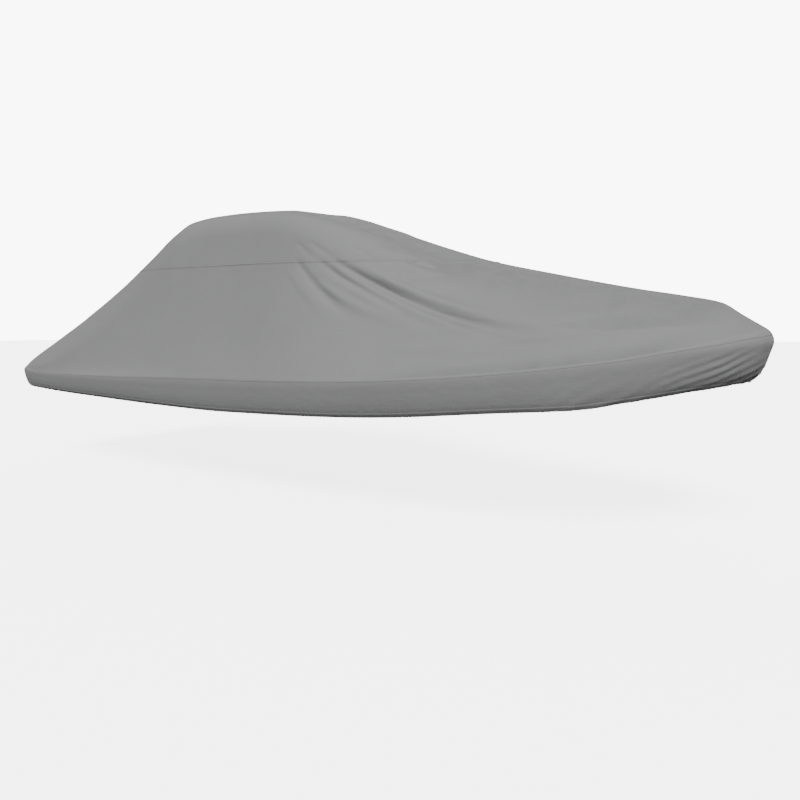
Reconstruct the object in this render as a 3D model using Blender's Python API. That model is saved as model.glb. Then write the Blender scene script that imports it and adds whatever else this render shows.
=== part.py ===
"""A fitted cover for a boat of about eight metres, hanging as it lies over the boat.

The cover is five sewn panels: a cap over the raised middle, a deck panel on each side and a skirt on
each side. They are built from tables of sections and folds, in metres, with +Z up and +X to the bow.
The tables measure x from the stern and z from the lowest point of the hem. The finished parts are
moved so that the origin is the place under the top where the boat holds the cover up.
"""

import math
from collections import namedtuple

import bpy
import numpy as np

CLOTH = 0.0025            # thickness of the cloth
HEM_CLOTH = 0.0055        # thickness of the folded hem
SEAM_GAP = 0.0003         # clear distance between two sewn panels
SPLIT_HALF_GAP = 0.0002   # half of the clear distance on the centreline
HOLD_X = 3.50             # where the boat holds the cover up, from the stern

# The edge of the deck, from the middle of the stern round one side to the tip of the bow.
# ridge_x is where the section that starts at this point meets the centreline.
Edge = namedtuple("Edge", "x y ridge_x gunwale_z hem_z")
EDGES = [
    Edge(0.00, 0.000, 0.55, 0.308, 0.105),
    Edge(0.00, 0.580, 0.78, 0.307, 0.100),
    Edge(0.00, 1.050, 1.08, 0.303, 0.090),
    Edge(0.03, 1.135, 1.18, 0.300, 0.084),
    Edge(0.12, 1.178, 1.28, 0.294, 0.078),
    Edge(0.38, 1.195, 1.48, 0.281, 0.066),
    Edge(0.96, 1.207, 1.80, 0.272, 0.044),
    Edge(1.81, 1.215, 2.25, 0.274, 0.024),
    Edge(2.72, 1.225, 2.85, 0.293, 0.006),
    Edge(3.52, 1.230, 3.52, 0.313, 0.000),
    Edge(4.20, 1.225, 4.20, 0.324, 0.014),
    Edge(4.81, 1.210, 4.81, 0.340, 0.032),
    Edge(5.34, 1.180, 5.34, 0.362, 0.056),
    Edge(5.82, 1.140, 5.82, 0.393, 0.090),
    Edge(6.24, 1.090, 6.22, 0.428, 0.130),
    Edge(6.63, 1.020, 6.55, 0.468, 0.166),
    Edge(6.92, 0.960, 6.80, 0.502, 0.188),
    Edge(7.18, 0.880, 7.00, 0.539, 0.212),
    Edge(7.44, 0.785, 7.18, 0.577, 0.262),
    Edge(7.67, 0.670, 7.34, 0.625, 0.306),
    Edge(7.90, 0.515, 7.52, 0.672, 0.350),
    Edge(8.07, 0.370, 7.66, 0.708, 0.376),
    Edge(8.17, 0.250, 7.76, 0.735, 0.392),
    Edge(8.25, 0.130, 7.85, 0.752, 0.402),
    Edge(8.30, 0.000, 7.94, 0.765, 0.408),
]

# One row a section across the boat. The cloth runs from the ridge to the shoulder and down to the
# gunwale. rounding is how far from the shoulder the curve starts, and sag is how far the side hangs in.
Section = namedtuple("Section", "x shoulder_y shoulder_z ridge_z rounding sag")
SECTIONS = [
    Section(0.00, 1.075, 0.315, 0.318, 0.02, 0.000),
    Section(0.20, 1.120, 0.450, 0.480, 0.12, 0.010),
    Section(0.60, 1.085, 0.700, 0.775, 0.26, 0.030),
    Section(1.10, 1.025, 0.985, 1.110, 0.36, 0.045),
    Section(1.70, 0.955, 1.345, 1.475, 0.40, 0.060),
    Section(2.20, 0.905, 1.652, 1.765, 0.36, 0.075),
    Section(2.60, 0.880, 1.870, 1.935, 0.27, 0.085),
    Section(2.85, 0.875, 1.950, 1.990, 0.21, 0.085),
    Section(3.20, 0.865, 1.966, 2.018, 0.18, 0.080),
    Section(3.60, 0.855, 1.960, 2.020, 0.17, 0.075),
    Section(4.23, 0.840, 1.930, 1.984, 0.17, 0.070),
    Section(4.60, 0.800, 1.840, 1.896, 0.18, 0.062),
    Section(4.90, 0.725, 1.728, 1.788, 0.21, 0.055),
    Section(5.10, 0.665, 1.640, 1.716, 0.24, 0.050),
    Section(5.30, 0.610, 1.552, 1.645, 0.28, 0.046),
    Section(5.50, 0.560, 1.470, 1.575, 0.31, 0.043),
    Section(5.70, 0.515, 1.398, 1.508, 0.35, 0.040),
    Section(6.00, 0.450, 1.308, 1.414, 0.36, 0.034),
    Section(6.68, 0.380, 1.150, 1.253, 0.34, 0.022),
    Section(7.35, 0.300, 1.020, 1.110, 0.28, 0.012),
    Section(7.70, 0.230, 0.965, 1.046, 0.20, 0.006),
    Section(7.95, 0.160, 0.925, 0.990, 0.14, 0.002),
    Section(8.10, 0.120, 0.850, 0.893, 0.10, 0.000),
    Section(8.30, 0.010, 0.763, 0.765, 0.00, 0.000),
]

# How the skirt falls from the gunwale: share is the depth as a part of the whole skirt, and tuck is
# how far the cloth is drawn in towards the hull there. The tuck grows towards the bow.
Fall = namedtuple("Fall", "share tuck")
SKIRT = [
    Fall(0.00, 0.000),
    Fall(0.10, 0.000),
    Fall(0.40, 0.012),
    Fall(0.72, 0.034),
    Fall(0.87, 0.052),
    Fall(1.00, 0.080),
]
HEM_SHARE = 0.87          # below this share of the skirt the cloth is folded into the hem
BOW_TUCK = 2.1            # how many times deeper the tuck is at the tip of the bow
BOW_TUCK_FROM = 6.9       # where the deeper tuck starts

STARBOARD = -1
PORT = 1

# The main folds. Each runs from (x0, z0) to (x1, z1) as seen from the side. A positive depth is a
# trough and a negative one a ridge.
Fold = namedtuple("Fold", "x0 z0 x1 z1 width depth side")
FOLDS = [
    Fold(4.88, 1.40, 6.35, 0.86, 0.085, 0.023, STARBOARD),
    Fold(5.15, 1.38, 6.40, 0.96, 0.080, -0.012, STARBOARD),
    Fold(4.70, 1.36, 5.65, 0.86, 0.085, 0.014, STARBOARD),
    Fold(5.30, 1.50, 5.92, 1.27, 0.110, 0.018, STARBOARD),
    Fold(6.30, 0.62, 7.70, 0.80, 0.090, -0.010, STARBOARD),
    Fold(4.96, 1.42, 6.30, 0.86, 0.085, 0.023, PORT),
    Fold(4.70, 1.38, 5.60, 0.86, 0.085, 0.014, PORT),
    Fold(5.20, 1.38, 6.30, 0.96, 0.080, -0.012, PORT),
    Fold(5.36, 1.48, 5.92, 1.27, 0.110, 0.016, PORT),
    Fold(6.30, 0.60, 7.55, 0.80, 0.090, -0.009, PORT),
]

# The seam round the raised middle lies in a plane that falls a little towards the bow.
SEAM_AFT_X = 2.60
SEAM_AFT_Z = 1.435
SEAM_FORE_X = 6.10
SEAM_FORE_Z = 1.385

TOP_ROWS = 16             # rows of cloth from the gunwale to the ridge
STATION_PITCH = 0.27      # spacing of the sections along the edge
FOLD_PITCH = 0.18         # closer spacing where the main folds are
FOLD_SPAN = (4.1, 6.3)    # the stretch of the boat that has the main folds
FINE_STEPS = 160          # points used to measure a section before its rows are spaced
CAP_FROM_X = 1.40         # the stretch that the cap is cut from
CAP_TO_X = 6.85


def monotone_curve(knots, values):
    """Gives a function that passes smoothly through the values and never overshoots them."""
    knots = np.asarray(knots, float)
    values = np.asarray(values, float)
    step = np.diff(knots)
    rise = np.diff(values) / step
    slope = np.zeros_like(values)
    for i in range(1, len(values) - 1):
        if rise[i - 1] * rise[i] > 0:
            before = 2 * step[i] + step[i - 1]
            after = step[i] + 2 * step[i - 1]
            slope[i] = (before + after) / (before / rise[i - 1] + after / rise[i])
    slope[0] = rise[0]
    slope[-1] = rise[-1]

    def curve(at):
        at = np.clip(np.asarray(at, float), knots[0], knots[-1])
        i = np.clip(np.searchsorted(knots, at) - 1, 0, len(step) - 1)
        t = (at - knots[i]) / step[i]
        start = (1 + 2 * t) * (1 - t) ** 2 * values[i] + t * (1 - t) ** 2 * step[i] * slope[i]
        end = t * t * (3 - 2 * t) * values[i + 1] + t * t * (t - 1) * step[i] * slope[i + 1]
        return start + end

    return curve


def edge_lengths():
    """The distance along the edge of the deck to each row of EDGES, seen from above."""
    x = np.array([edge.x for edge in EDGES])
    y = np.array([edge.y for edge in EDGES])
    return np.concatenate([[0.0], np.cumsum(np.hypot(np.diff(x), np.diff(y)))])


LENGTHS = edge_lengths()
EDGE_CURVES = {
    column: monotone_curve(LENGTHS, [getattr(edge, column) for edge in EDGES]) for column in Edge._fields
}
SECTION_CURVES = {
    column: monotone_curve([row.x for row in SECTIONS], [getattr(row, column) for row in SECTIONS])
    for column in Section._fields
}
DENSE = np.linspace(0.0, LENGTHS[-1], 4000)
DENSE_X = EDGE_CURVES["x"](DENSE)
DENSE_Y = EDGE_CURVES["y"](DENSE)
DENSE_GUNWALE = EDGE_CURVES["gunwale_z"](DENSE)
ON_SIDE = DENSE_X > 1e-6


def half_beam(x):
    """The half width of the deck edge at this distance from the stern."""
    return np.interp(x, DENSE_X[ON_SIDE], DENSE_Y[ON_SIDE])


def gunwale_height(x):
    """The height of the deck edge at this distance from the stern."""
    return np.interp(x, DENSE_X[ON_SIDE], DENSE_GUNWALE[ON_SIDE])


def top_height(x, y):
    """The height of the cloth over one point of the deck."""
    beam = max(float(half_beam(x)), 1e-4)
    edge = np.array([beam, float(gunwale_height(x))])
    shoulder = np.array([float(SECTION_CURVES["shoulder_y"](x)), float(SECTION_CURVES["shoulder_z"](x))])
    shoulder[0] = min(shoulder[0], beam * 0.97)
    ridge = np.array([0.0, float(SECTION_CURVES["ridge_z"](x))])
    rounding = float(SECTION_CURVES["rounding"](x))
    up = ridge - shoulder
    down = edge - shoulder
    start = shoulder + up * min(rounding / max(np.hypot(*up), 1e-6), 0.8)
    end = shoulder + down * min(1.3 * rounding / max(np.hypot(*down), 1e-6), 0.8)
    y = abs(y)
    if y <= start[0]:
        return ridge[1] + (start[1] - ridge[1]) * y / max(start[0], 1e-6)
    if y >= end[0]:
        share = min((y - end[0]) / max(edge[0] - end[0], 1e-6), 1.0)
        hang = float(SECTION_CURVES["sag"](x)) * 4 * share * (1 - share)
        return end[1] + (edge[1] - end[1]) * share - hang * 2.0
    a = start[0] - 2 * shoulder[0] + end[0]
    b = 2 * (shoulder[0] - start[0])
    c = start[0] - y
    if abs(a) < 1e-9:
        t = -c / b
    else:
        t = (-b + math.sqrt(max(b * b - 4 * a * c, 0.0))) / (2 * a)
    return (1 - t) ** 2 * start[1] + 2 * t * (1 - t) * shoulder[1] + t * t * end[1]


def station_lengths():
    """The places along the edge where a section starts, closer together round the main folds."""
    places = [0.0]
    for i in range(len(EDGES) - 1):
        gap = LENGTHS[i + 1] - LENGTHS[i]
        in_folds = FOLD_SPAN[0] <= EDGES[i].x <= FOLD_SPAN[1]
        parts = max(1, round(gap / (FOLD_PITCH if in_folds else STATION_PITCH)))
        places += [LENGTHS[i] + gap * (j + 1) / parts for j in range(parts)]
    return places


def fold_push(x, z, side):
    """How far the folds push the cloth in at a point of one side."""
    push = np.zeros_like(x)
    for fold in FOLDS:
        if fold.side != side:
            continue
        along = np.array([fold.x1 - fold.x0, fold.z1 - fold.z0])
        length = np.hypot(*along)
        along = along / length
        run = ((x - fold.x0) * along[0] + (z - fold.z0) * along[1]) / length
        off = -(x - fold.x0) * along[1] + (z - fold.z0) * along[0]
        fade = np.exp(-np.maximum(np.maximum(-run, run - 1.0), 0.0) ** 2 * (length / fold.width) ** 2)
        swell = 0.55 + 0.45 * np.sin(np.clip(run, 0, 1) * math.pi)
        push += fold.depth * fade * swell * np.exp(-((off / fold.width) ** 2))
    return push


def outer_grid(side):
    """The outside of one half of the cover: a row of points a station, from the hem to the ridge."""
    stations = []
    for length in station_lengths():
        edge = Edge(*(float(EDGE_CURVES[column](length)) for column in Edge._fields))
        ahead = np.array([float(EDGE_CURVES[c](min(length + 0.01, LENGTHS[-1]))) for c in "xy"])
        behind = np.array([float(EDGE_CURVES[c](max(length - 0.01, 0.0))) for c in "xy"])
        run = (ahead - behind) / max(np.hypot(*(ahead - behind)), 1e-9)
        inward = np.array([run[1], -run[0]])
        if edge.y < 1e-6:
            inward = np.array([1.0 if edge.x < 1.0 else -1.0, 0.0])
        grow = min(max((edge.x - BOW_TUCK_FROM) / (EDGES[-1].x - BOW_TUCK_FROM), 0.0), 1.0)
        deeper = 1 + (BOW_TUCK - 1) * grow * grow
        points = []
        for fall in reversed(SKIRT):
            z = edge.gunwale_z + (edge.hem_z - edge.gunwale_z) * fall.share
            tuck = fall.tuck * (deeper if fall.tuck > 0 else 1.0)
            points.append([edge.x + inward[0] * tuck, edge.y + inward[1] * tuck, z])
        share = np.linspace(0.0, 1.0, FINE_STEPS)
        xs = edge.x + (edge.ridge_x - edge.x) * share
        ys = edge.y * (1 - share)
        zs = np.array([top_height(x, y) for x, y in zip(xs, ys)])
        zs[0] = edge.gunwale_z
        fine = np.stack([xs, ys, zs], axis=1)
        walked = np.concatenate([[0.0], np.cumsum(np.linalg.norm(np.diff(fine, axis=0), axis=1))])
        for row in range(1, TOP_ROWS + 1):
            target = walked[-1] * row / TOP_ROWS
            points.append([np.interp(target, walked, fine[:, k]) for k in range(3)])
        stations.append(points)
    grid = np.array(stations)
    normals = grid_normals(grid)
    off_centre = np.clip(grid[..., 1] / 0.25, 0, 1)
    above_edge = np.clip((grid[..., 2] - 0.02 - gunwale_height(grid[..., 0])) / 0.06, 0, 1)
    push = fold_push(grid[..., 0], grid[..., 2], side) * off_centre * above_edge
    grid = grid - normals * push[..., None]
    grid[..., 1] *= side
    return grid


def grid_normals(grid):
    """Unit normals of a grid of the +Y half, pointing out of the cover."""
    along = np.gradient(grid, axis=0)
    up = np.gradient(grid, axis=1)
    normal = np.cross(along, up)
    normal /= np.maximum(np.linalg.norm(normal, axis=2, keepdims=True), 1e-12)
    normal *= -1.0 if normal[len(grid) // 2, 8, 1] < 0 else 1.0
    for line in (normal[0], normal[-1], normal[:, -1]):
        line[..., 1] = 0.0
        line /= np.maximum(np.linalg.norm(line, axis=1, keepdims=True), 1e-12)
    return normal


def inner_grid(outer, side):
    """The inside of the cloth, one thickness in from the outside, with the hem thicker."""
    flipped = outer * np.array([1.0, side, 1.0])
    normals = grid_normals(flipped) * np.array([1.0, side, 1.0])
    hem_rows = sum(fall.share >= HEM_SHARE for fall in SKIRT)
    thickness = np.full(outer.shape[1], CLOTH)
    thickness[: hem_rows - 1] = HEM_CLOTH
    thickness[hem_rows - 1] = 0.5 * (HEM_CLOTH + CLOTH)
    return outer - normals * thickness[None, :, None]


def sheet_mesh(name, outer, inner, colour):
    """A closed sheet between two grids of points, as a new object."""
    rows, columns = outer.shape[:2]
    count = rows * columns
    points = np.concatenate([outer.reshape(-1, 3), inner.reshape(-1, 3)]) - ORIGIN
    index = np.arange(count).reshape(rows, columns)
    faces = []
    for i in range(rows - 1):
        for j in range(columns - 1):
            a, b = int(index[i, j]), int(index[i + 1, j])
            c, d = int(index[i + 1, j + 1]), int(index[i, j + 1])
            for corner in ((a, b, c), (a, c, d)):
                faces.append(corner)
                faces.append(tuple(k + count for k in reversed(corner)))
    ring = [int(k) for k in index[:, 0]]
    ring += [int(k) for k in index[-1, 1:]]
    ring += [int(k) for k in index[-2::-1, -1]]
    ring += [int(k) for k in index[0, -2:0:-1]]
    for a, b in zip(ring, ring[1:] + ring[:1]):
        faces.append((b, a, a + count))
        faces.append((b, a + count, b + count))
    mesh = bpy.data.meshes.new(name)
    mesh.from_pydata([tuple(p) for p in points], [], faces)
    mesh.update()
    body = bpy.data.objects.new(name, mesh)
    bpy.context.scene.collection.objects.link(body)
    face_outwards(mesh)
    mesh.materials.append(cloth_material(name, colour))
    return body


def face_outwards(mesh):
    """Turns every face round when the closed mesh is inside out."""
    mesh.calc_loop_triangles()
    volume = 0.0
    for triangle in mesh.loop_triangles:
        a, b, c = (mesh.vertices[k].co for k in triangle.vertices)
        volume += a.dot(b.cross(c))
    if volume < 0:
        mesh.flip_normals()


def cloth_material(name, colour):
    """A matt woven finish."""
    material = bpy.data.materials.new(name)
    material.use_nodes = True
    shader = material.node_tree.nodes["Principled BSDF"]
    shader.inputs["Base Color"].default_value = (*colour, 1.0)
    shader.inputs["Roughness"].default_value = 0.85
    return material


def seam_cutter(name, lift):
    """A block that holds everything above the seam, moved up by lift."""
    slope = (SEAM_FORE_Z - SEAM_AFT_Z) / (SEAM_FORE_X - SEAM_AFT_X)
    low_x = -1.0
    high_x = 9.5
    low = SEAM_AFT_Z + slope * (low_x - SEAM_AFT_X) + lift
    high = SEAM_AFT_Z + slope * (high_x - SEAM_AFT_X) + lift
    top = 3.5
    side = 2.0
    points = [
        (low_x, -side, low), (high_x, -side, high), (high_x, side, high), (low_x, side, low),
        (low_x, -side, top), (high_x, -side, top), (high_x, side, top), (low_x, side, top),
    ]
    faces = [(3, 2, 1, 0), (4, 5, 6, 7), (0, 1, 5, 4), (1, 2, 6, 5), (2, 3, 7, 6), (3, 0, 4, 7)]
    mesh = bpy.data.meshes.new(name)
    mesh.from_pydata([tuple(np.array(p) - ORIGIN) for p in points], [], faces)
    mesh.update()
    block = bpy.data.objects.new(name, mesh)
    block.hide_render = True
    block.display_type = "WIRE"
    bpy.context.scene.collection.objects.link(block)
    return block


def cut(body, block, operation):
    """Adds one exact Boolean to the body."""
    modifier = body.modifiers.new("seam", "BOOLEAN")
    modifier.operation = operation
    modifier.solver = "EXACT"
    modifier.object = block


def pull_off_centre(grid, side, columns):
    """Moves the edges that lie on the centreline aside, so that the two halves don't touch."""
    grid = grid.copy()
    lines = [grid[0], grid[-1]] + ([grid[:, -1]] if columns == "top" else [])
    for line in lines:
        line[:, 1] = side * SPLIT_HALF_GAP
    return grid


def build():
    """Builds the five panels."""
    gunwale_row = len(SKIRT) - 1
    above = seam_cutter("above_seam", SEAM_GAP / 2)
    below = seam_cutter("above_seam_for_decks", -SEAM_GAP / 2)
    grids = {}
    for side, word in ((STARBOARD, "starboard"), (PORT, "port")):
        outer = outer_grid(side)
        inner = inner_grid(outer, side)
        grids[side] = (outer, inner)
        deck_out = pull_off_centre(outer[:, gunwale_row:], side, "top")
        deck_in = pull_off_centre(inner[:, gunwale_row:], side, "top")
        deck = sheet_mesh(f"deck_panel_{word}", deck_out, deck_in, (0.30, 0.30, 0.31))
        cut(deck, below, "DIFFERENCE")
        skirt_out = outer[:, : gunwale_row + 1].copy()
        skirt_in = inner[:, : gunwale_row + 1].copy()
        drop = skirt_out[:, -2] - skirt_out[:, -1]
        drop *= 1.6 * SEAM_GAP / np.linalg.norm(drop, axis=1, keepdims=True)
        skirt_out[:, -1] += drop
        skirt_in[:, -1] += drop
        skirt_out = pull_off_centre(skirt_out, side, "skirt")
        skirt_in = pull_off_centre(skirt_in, side, "skirt")
        sheet_mesh(f"skirt_{word}", skirt_out, skirt_in, (0.25, 0.25, 0.26))
    star_out, star_in = grids[STARBOARD]
    port_out, port_in = grids[PORT]
    ridge_x = star_out[:, -1, 0]
    used = np.where((ridge_x > CAP_FROM_X) & (ridge_x < CAP_TO_X))[0]
    pick = slice(used[0], used[-1] + 1)
    first = gunwale_row + 2
    across_out = np.concatenate([star_out[pick, first:], port_out[pick, first:-1][:, ::-1]], axis=1)
    across_in = np.concatenate([star_in[pick, first:], port_in[pick, first:-1][:, ::-1]], axis=1)
    cap = sheet_mesh("cap_panel", across_out, across_in, (0.34, 0.34, 0.35))
    cut(cap, above, "INTERSECT")


for old in list(bpy.data.objects):
    bpy.data.objects.remove(old, do_unlink=True)
ORIGIN = np.array([HOLD_X, 0.0, top_height(HOLD_X, 0.0) - CLOTH])
build()
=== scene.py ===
"""The looks of a fitted cover for a boat of about eight metres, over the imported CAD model.

The cover is modelled as its five sewn panels. Each panel is a fine sheet of cloth built from the same
kind of tables that the CAD model uses: the edge of the deck, the sections across the boat, the fall of
the skirt, and the folds. Distances in the tables are in metres, with x from the stern and z from the
lowest point of the hem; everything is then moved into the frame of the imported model.
"""

import logging
import math
from dataclasses import dataclass, field
from enum import Enum, IntEnum
from typing import Callable, Dict, List, Optional, Sequence, Tuple

import bmesh
import bpy
import numpy as np
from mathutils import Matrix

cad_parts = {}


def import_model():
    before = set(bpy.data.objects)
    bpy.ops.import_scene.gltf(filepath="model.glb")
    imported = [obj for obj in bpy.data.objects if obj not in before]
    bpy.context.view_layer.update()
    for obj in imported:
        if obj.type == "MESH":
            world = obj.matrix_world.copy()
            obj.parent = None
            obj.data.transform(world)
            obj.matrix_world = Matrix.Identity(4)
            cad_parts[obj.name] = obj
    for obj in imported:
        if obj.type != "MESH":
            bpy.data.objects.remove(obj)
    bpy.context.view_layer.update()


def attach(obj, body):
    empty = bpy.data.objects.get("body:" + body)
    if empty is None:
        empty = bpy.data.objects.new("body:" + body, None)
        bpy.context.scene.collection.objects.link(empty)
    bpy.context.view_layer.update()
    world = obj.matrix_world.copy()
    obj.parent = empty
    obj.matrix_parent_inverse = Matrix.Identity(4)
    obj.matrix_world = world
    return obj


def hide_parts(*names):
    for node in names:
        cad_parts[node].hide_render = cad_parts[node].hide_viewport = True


LOG = logging.getLogger("boat_cover")

Vector3 = Tuple[float, float, float]


class Side(IntEnum):
    """The two sides of the boat; the value is the sign of y."""

    STARBOARD = -1
    PORT = 1


class Panel(Enum):
    """The sewn panels, named as the CAD nodes are."""

    CAP = "cap_panel"
    DECK_STARBOARD = "deck_panel_starboard"
    DECK_PORT = "deck_panel_port"
    SKIRT_STARBOARD = "skirt_starboard"
    SKIRT_PORT = "skirt_port"


@dataclass(frozen=True)
class Edge:
    """One point of the edge of the deck, and where its section meets the centreline."""

    x: float
    y: float
    ridge_x: float
    gunwale_z: float
    hem_z: float


@dataclass(frozen=True)
class Section:
    """One section across the boat: the ridge, the shoulder and how the cloth turns over it."""

    x: float
    shoulder_y: float
    shoulder_z: float
    ridge_z: float
    rounding: float
    sag: float


@dataclass(frozen=True)
class Fall:
    """One level of the skirt: how far down it is and how far in it is drawn."""

    share: float
    tuck: float


@dataclass(frozen=True)
class Fold:
    """One fold as seen from the side. bend bows it sideways, and a negative depth is a ridge."""

    x0: float
    z0: float
    x1: float
    z1: float
    bend: float
    width: float
    depth: float
    side: Side


@dataclass(frozen=True)
class Gather:
    """A fan of small tension folds on the skirt, drawn up by the gathered hem.

    Attributes:
        x0: Where the fan starts, from the stern.
        x1: Where it ends.
        pitch: The distance from one fold to the next.
        climb: The angle of the folds, in degrees.
        wander: How far they stray, in pitches.
        depth: How deep they are.
        side: Which side of the boat they are on.
    """

    x0: float
    x1: float
    pitch: float
    climb: float
    wander: float
    depth: float
    side: Side


EDGES: Sequence[Edge] = (
    Edge(0.00, 0.000, 0.55, 0.308, 0.105),
    Edge(0.00, 0.580, 0.78, 0.307, 0.100),
    Edge(0.00, 1.050, 1.08, 0.303, 0.090),
    Edge(0.03, 1.135, 1.18, 0.300, 0.084),
    Edge(0.12, 1.178, 1.28, 0.294, 0.078),
    Edge(0.38, 1.195, 1.48, 0.281, 0.066),
    Edge(0.96, 1.207, 1.80, 0.272, 0.044),
    Edge(1.81, 1.215, 2.25, 0.274, 0.024),
    Edge(2.72, 1.225, 2.85, 0.293, 0.006),
    Edge(3.52, 1.230, 3.52, 0.313, 0.000),
    Edge(4.20, 1.225, 4.20, 0.324, 0.014),
    Edge(4.81, 1.210, 4.81, 0.340, 0.032),
    Edge(5.34, 1.180, 5.34, 0.362, 0.056),
    Edge(5.82, 1.140, 5.82, 0.393, 0.090),
    Edge(6.24, 1.090, 6.22, 0.428, 0.130),
    Edge(6.63, 1.020, 6.55, 0.468, 0.166),
    Edge(6.92, 0.960, 6.80, 0.502, 0.188),
    Edge(7.18, 0.880, 7.00, 0.539, 0.212),
    Edge(7.44, 0.785, 7.18, 0.577, 0.262),
    Edge(7.67, 0.670, 7.34, 0.625, 0.306),
    Edge(7.90, 0.515, 7.52, 0.672, 0.350),
    Edge(8.07, 0.370, 7.66, 0.708, 0.376),
    Edge(8.17, 0.250, 7.76, 0.735, 0.392),
    Edge(8.25, 0.130, 7.85, 0.752, 0.402),
    Edge(8.30, 0.000, 7.94, 0.765, 0.408),
)

SECTIONS: Sequence[Section] = (
    Section(0.00, 1.075, 0.315, 0.318, 0.02, 0.000),
    Section(0.20, 1.120, 0.450, 0.480, 0.12, 0.010),
    Section(0.60, 1.085, 0.700, 0.775, 0.26, 0.030),
    Section(1.10, 1.025, 0.985, 1.110, 0.36, 0.045),
    Section(1.70, 0.955, 1.345, 1.475, 0.40, 0.060),
    Section(2.20, 0.905, 1.652, 1.765, 0.36, 0.075),
    Section(2.60, 0.880, 1.870, 1.935, 0.27, 0.085),
    Section(2.85, 0.875, 1.950, 1.990, 0.21, 0.085),
    Section(3.20, 0.865, 1.966, 2.018, 0.18, 0.080),
    Section(3.60, 0.855, 1.960, 2.020, 0.17, 0.075),
    Section(4.23, 0.840, 1.930, 1.984, 0.17, 0.070),
    Section(4.60, 0.800, 1.840, 1.896, 0.18, 0.062),
    Section(4.90, 0.725, 1.728, 1.788, 0.21, 0.055),
    Section(5.10, 0.665, 1.640, 1.716, 0.24, 0.050),
    Section(5.30, 0.610, 1.552, 1.645, 0.28, 0.046),
    Section(5.50, 0.560, 1.470, 1.575, 0.31, 0.043),
    Section(5.70, 0.515, 1.398, 1.508, 0.35, 0.040),
    Section(6.00, 0.450, 1.308, 1.414, 0.36, 0.034),
    Section(6.68, 0.380, 1.150, 1.253, 0.34, 0.022),
    Section(7.35, 0.300, 1.020, 1.110, 0.28, 0.012),
    Section(7.70, 0.230, 0.965, 1.046, 0.20, 0.006),
    Section(7.95, 0.160, 0.925, 0.990, 0.14, 0.002),
    Section(8.10, 0.120, 0.850, 0.893, 0.10, 0.000),
    Section(8.30, 0.010, 0.763, 0.765, 0.00, 0.000),
)

SKIRT: Sequence[Fall] = (
    Fall(0.00, 0.000),
    Fall(0.10, 0.000),
    Fall(0.40, 0.012),
    Fall(0.72, 0.034),
    Fall(0.87, 0.052),
    Fall(1.00, 0.080),
)

SKIRT_POINTS = 60

STARBOARD_FOLDS = (
    # The long trough that runs from the foot of the raised middle out over the foredeck.
    (4.86, 1.42, 6.90, 0.72, -0.110, 0.046, 0.038),
    (5.15, 1.36, 6.55, 0.86, -0.075, 0.040, -0.016),
    (4.98, 1.22, 6.05, 0.84, -0.060, 0.040, -0.014),
    # The second trough below it, and the ridge under that.
    (4.72, 1.42, 6.10, 0.78, -0.070, 0.042, 0.024),
    (4.75, 1.22, 5.62, 0.84, -0.040, 0.038, -0.011),
    # Short steep folds near the aft end of the fan, some of them starting above the seam.
    (4.48, 1.44, 5.20, 0.86, -0.040, 0.042, 0.017),
    (4.40, 1.36, 4.92, 0.90, -0.020, 0.035, -0.006),
    (4.46, 1.60, 4.72, 1.40, 0.000, 0.025, 0.007),
    (4.60, 1.60, 4.86, 1.44, 0.000, 0.024, 0.006),
    (5.00, 1.55, 5.26, 1.38, 0.000, 0.022, 0.008),
    # The creased hollow where the raised middle meets the foredeck.
    (5.26, 1.66, 6.02, 1.30, 0.010, 0.080, 0.062),
    (5.42, 1.43, 5.80, 1.30, -0.008, 0.020, 0.014),
    (5.34, 1.36, 5.66, 1.22, 0.000, 0.022, 0.010),
    (6.40, 1.26, 6.80, 1.12, 0.000, 0.030, 0.006),
    # Long soft ridges above the edge of the deck.
    (6.10, 0.58, 7.95, 0.86, -0.030, 0.050, -0.009),
    (5.60, 0.62, 7.20, 0.72, -0.020, 0.060, -0.007),
    (6.60, 0.80, 7.80, 0.95, -0.010, 0.050, 0.005),
)

# The side away from the camera has folds of its own, of the same kind.
PORT_FOLDS = (
    (4.96, 1.42, 6.80, 0.76, -0.100, 0.050, 0.023),
    (5.20, 1.38, 6.45, 0.92, -0.070, 0.040, -0.011),
    (4.70, 1.38, 5.90, 0.78, -0.060, 0.045, 0.014),
    (4.44, 1.42, 5.10, 0.90, -0.030, 0.042, 0.010),
    (4.62, 1.58, 4.84, 1.42, 0.000, 0.025, 0.006),
    (5.36, 1.48, 5.92, 1.27, 0.010, 0.078, 0.018),
    (6.20, 0.60, 7.85, 0.84, -0.030, 0.050, -0.008),
    (5.50, 0.62, 7.10, 0.70, -0.020, 0.060, -0.007),
)

STARBOARD_GATHERS = (
    (7.56, 8.32, 0.064, 14.0, 0.32, 0.0046),
    (6.70, 7.60, 0.100, 30.0, 0.50, 0.0018),
    (-0.10, 0.90, 0.090, 105.0, 0.80, 0.0034),
)

PORT_GATHERS = (
    (7.52, 8.32, 0.068, 16.0, 0.32, 0.0045),
    (6.60, 7.55, 0.105, 32.0, 0.50, 0.0018),
    (-0.10, 0.85, 0.085, 104.0, 0.80, 0.0034),
)

FOLDS: Sequence[Fold] = tuple(
    Fold(*row, side)
    for side, rows in ((Side.STARBOARD, STARBOARD_FOLDS), (Side.PORT, PORT_FOLDS))
    for row in rows
)
GATHERS: Sequence[Gather] = tuple(
    Gather(*row, side)
    for side, rows in ((Side.STARBOARD, STARBOARD_GATHERS), (Side.PORT, PORT_GATHERS))
    for row in rows
)


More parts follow.
